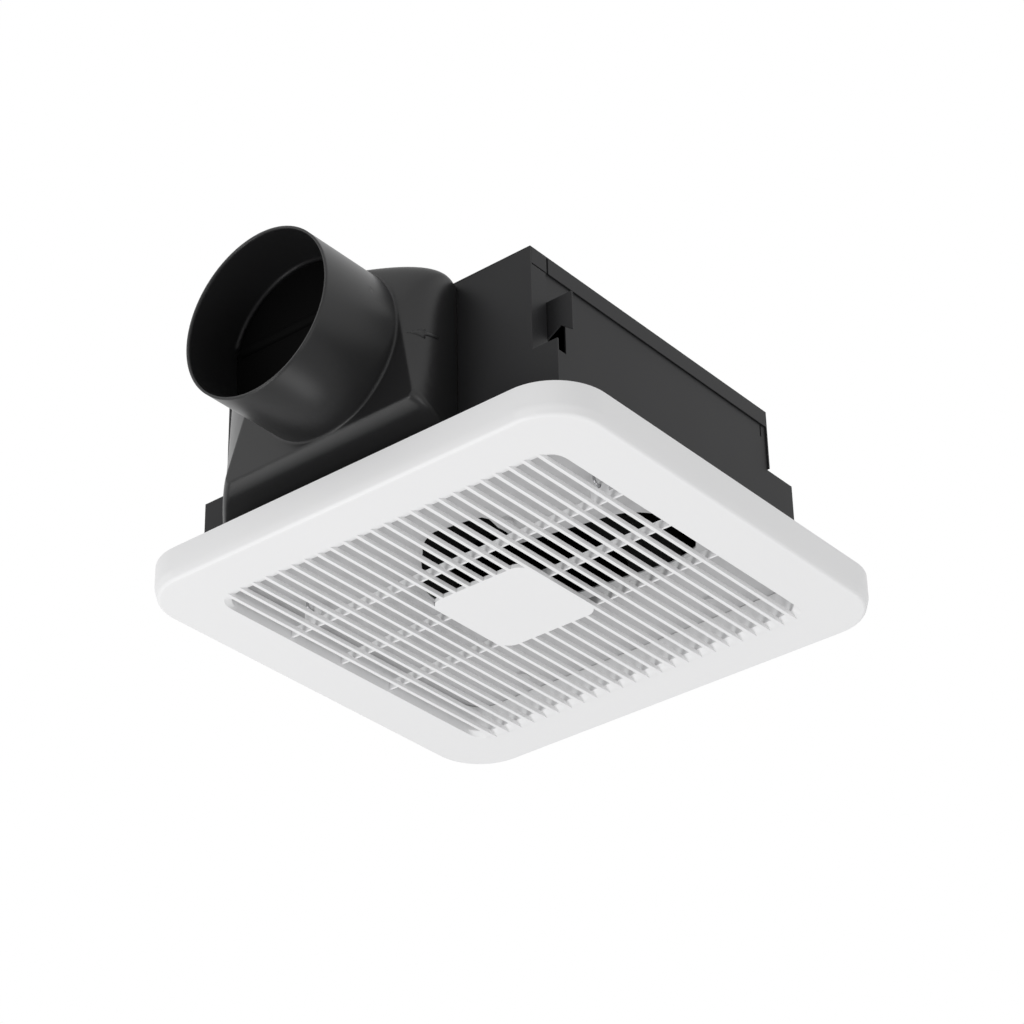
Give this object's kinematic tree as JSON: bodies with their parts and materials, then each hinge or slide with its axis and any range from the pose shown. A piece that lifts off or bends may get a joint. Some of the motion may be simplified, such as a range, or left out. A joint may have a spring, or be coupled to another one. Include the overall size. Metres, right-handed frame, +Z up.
{
  "type": "ceiling ventilation fan",
  "caption": "Square ceiling ventilation fan with a white louvred grille, a dark sheet metal housing, a centrifugal blower inside and a round side duct collar with a backdraft damper.",
  "frame": {"origin": "centre of the ceiling screw pattern on the ceiling plane, which is also the grille's top edge and centre", "axes": "+Z up into the ceiling, -Y along the duct collar as it leaves, +X across the duct"},
  "size_m": [0.3, 0.3495, 0.1376],
  "materials": {
    "white_plastic": "smooth satin moulding",
    "dark_paint": "satin dark paint on sheet steel",
    "black_plastic": "fine satin moulding",
    "pale_sheet": "pale satin coat on sheet steel",
    "galvanised_sheet": "dull galvanised sheet",
    "spring_steel": "drawn and ground steel",
    "zinc_steel": "zinc plated steel",
    "green_screw": "green dyed steel",
    "magnet_iron": "dull laminated iron",
    "black_rubber": "soft matt rubber",
    "pale_nylon": "natural nylon moulding",
    "board_laminate": "green solder mask on glass laminate",
    "capacitor_sleeve": "shrunk dark sleeve"
  },
  "bodies": {
    "frame": {"inlet_plate": "pale_sheet", "housing_wrapper": "dark_paint", "duct_wall": "dark_paint", "side_wall_left": "dark_paint", "side_wall_right": "dark_paint", "duct_adapter": "black_plastic", "damper_pin": "spring_steel", "scroll_casing": "black_plastic", "stator_core": "magnet_iron", "motor_case": "galvanised_sheet", "motor_end_cap": "galvanised_sheet", "bearing_lower": "spring_steel", "bearing_upper": "spring_steel", "motor_bracket": "galvanised_sheet", "motor_grommets": "black_rubber", "motor_screws": "zinc_steel", "bracket_screws": "zinc_steel", "wiring_box": "galvanised_sheet", "wiring_cover": "galvanised_sheet", "wiring_cover_screw": "zinc_steel", "ground_screw": "green_screw", "motor_socket": "pale_nylon", "motor_plug": "pale_nylon", "control_board": "board_laminate", "board_standoffs": "pale_nylon", "capacitor": "capacitor_sleeve", "adapter_screws": "zinc_steel", "plate_screws": "zinc_steel", "blower_screws": "zinc_steel"},
    "fan": {"impeller": "black_plastic", "impeller_nut": "zinc_steel", "motor_shaft": "spring_steel", "rotor_magnet": "magnet_iron"},
    "flap": {"damper_flap": "black_plastic"},
    "grille": {"grille": "white_plastic", "grille_spring_left": "spring_steel", "grille_spring_right": "spring_steel"}
  },
  "joints": [
    {"name": "fan_spin", "type": "hinge", "parent": "frame", "child": "fan", "pos_m": [0.014, 0.006, 0.05], "axis": [0, 0, 1], "continuous": true},
    {"name": "damper_swing", "type": "hinge", "parent": "frame", "child": "flap", "pos_m": [-0.0018, -0.1695, 0.0788], "axis": [-1, 0, 0], "range_deg": [0, 60]},
    {"name": "grille_drop", "type": "slide", "parent": "frame", "child": "grille", "axis": [0, 0, -1], "range_m": [0, 0.06], "stiffness_N_per_m": 60, "springref_m": -0.1}
  ]
}
